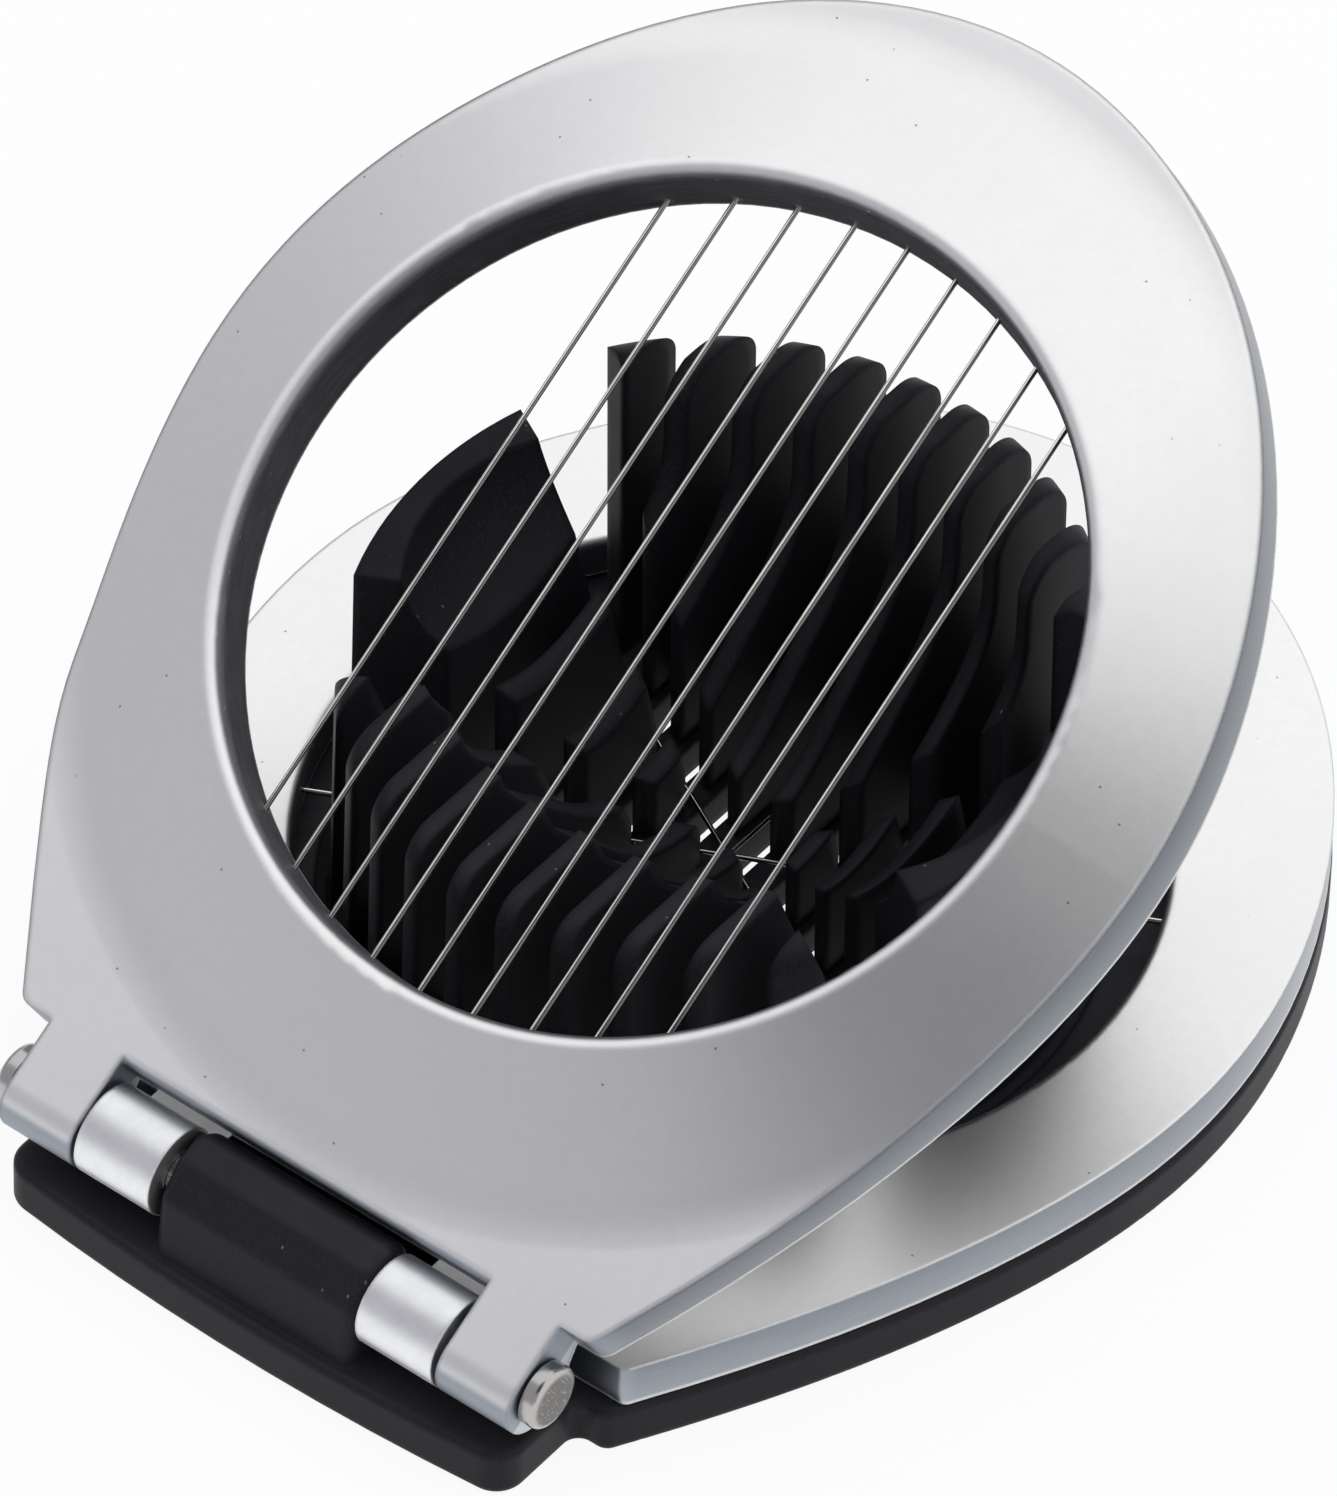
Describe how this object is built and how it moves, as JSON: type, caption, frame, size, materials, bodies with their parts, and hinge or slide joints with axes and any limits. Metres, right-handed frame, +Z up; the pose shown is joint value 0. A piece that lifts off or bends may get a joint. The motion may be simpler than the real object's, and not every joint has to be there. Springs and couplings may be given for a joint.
{
  "type": "egg slicer",
  "caption": "Egg slicer with hinged cutting frames, strung with parallel and with crossed wires, that close over a ribbed cradle for the egg.",
  "frame": {"origin": "on the table, under the middle of the foot", "axes": "+X along the hinge pin, +Y from the hinge to the tip of the frames, +Z up"},
  "size_m": [0.1048, 0.1298, 0.0773],
  "materials": {
    "cast_aluminium": "satin cast tops with polished side walls, hole walls and knuckles",
    "black_plastic": "matt moulded plastic, slightly satin on the top edges of the ribs",
    "wire_steel": "bright drawn stainless wire",
    "sleeve_steel": "plain crimped sleeve",
    "pin_steel": "nickel-plated pin with rounded heads"
  },
  "bodies": {
    "base": {"base_foot": "black_plastic", "egg_cradle": "black_plastic", "hinge_pin": "pin_steel"},
    "wedge": {"wedge_frame": "cast_aluminium", "wedge_sleeves": "sleeve_steel", "wedge_wire_1": "wire_steel", "wedge_wire_2": "wire_steel", "wedge_wire_3": "wire_steel"},
    "slicing": {"slicing_frame": "cast_aluminium", "slicing_sleeves_hinge_side": "sleeve_steel", "slicing_sleeves_tip_side": "sleeve_steel", "slicing_wire_1": "wire_steel", "slicing_wire_2": "wire_steel", "slicing_wire_3": "wire_steel", "slicing_wire_4": "wire_steel", "slicing_wire_5": "wire_steel", "slicing_wire_6": "wire_steel", "slicing_wire_7": "wire_steel", "slicing_wire_8": "wire_steel", "slicing_wire_9": "wire_steel"}
  },
  "joints": [
    {"name": "wedge_hinge", "type": "hinge", "parent": "base", "child": "wedge", "pos_m": [0, -0.05892, 0.0113], "axis": [1, 0, 0], "range_deg": [0, 85]},
    {"name": "slicing_hinge", "type": "hinge", "parent": "wedge", "child": "slicing", "pos_m": [0, -0.05892, 0.0113], "axis": [1, 0, 0], "range_deg": [-30.4, 64.6]}
  ]
}
